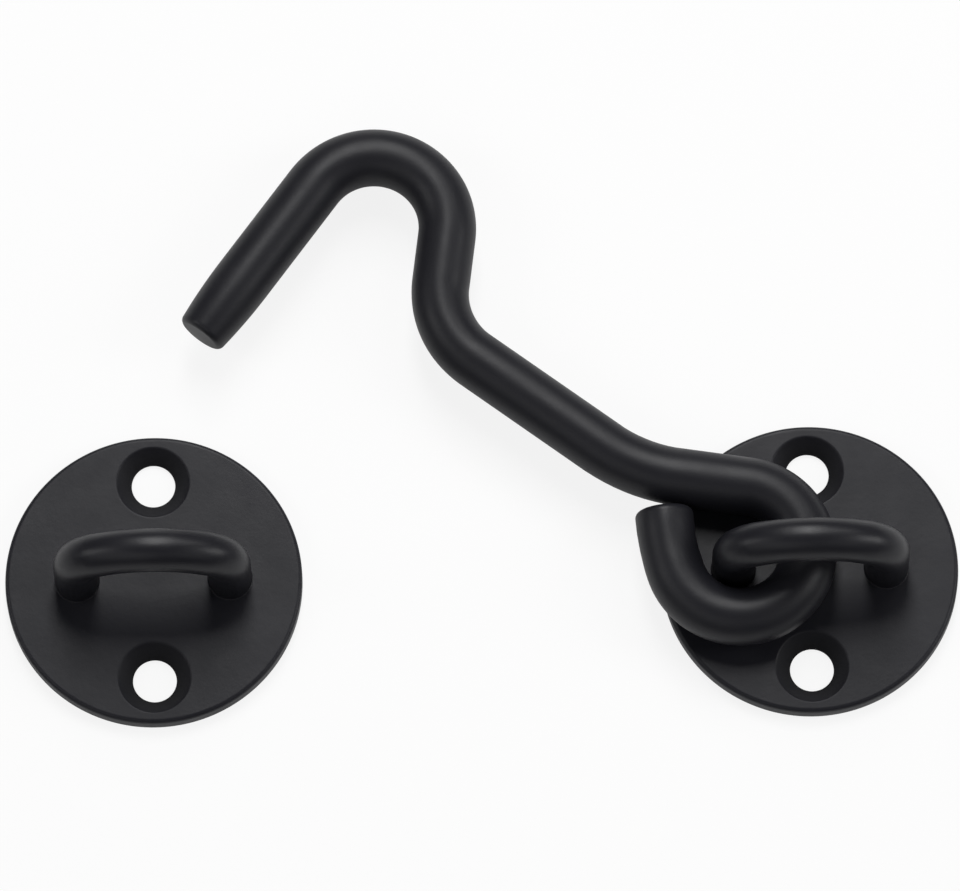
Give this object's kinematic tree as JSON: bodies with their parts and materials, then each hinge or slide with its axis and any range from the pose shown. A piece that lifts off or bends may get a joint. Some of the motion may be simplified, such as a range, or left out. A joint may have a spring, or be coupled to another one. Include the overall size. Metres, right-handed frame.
{
  "type": "hook and eye latch",
  "caption": "Matt black hook and eye latch with round screw-on plates, riveted staples and a bent rod hook that swings from one staple and drops through the other.",
  "frame": {"origin": "centre of the hinge plate's back face", "axes": "+Z out of the plates towards the user, +X from the catch half to the hinge half, +Y towards the raised hook"},
  "size_m": [0.1309, 0.0832, 0.0201],
  "materials": {
    "plate_coat": "matt",
    "staple_coat": "matt",
    "hook_coat": "matt"
  },
  "bodies": {
    "hinge_side": {"hinge_plate": "plate_coat", "hinge_staple": "staple_coat"},
    "hook": {"hook": "hook_coat"},
    "catch_side": {"catch_plate": "plate_coat", "catch_staple": "staple_coat"}
  },
  "joints": [
    {"name": "hook_swing", "type": "hinge", "parent": "hinge_side", "child": "hook", "pos_m": [-0.0105, 0, 0.0068], "axis": [0, 0, 1], "range_deg": [-108, 46.8]},
    {"name": "catch_slide", "type": "slide", "parent": "hinge_side", "child": "catch_side", "axis": [-1, 0, 0], "range_m": [0, 0.1]}
  ]
}
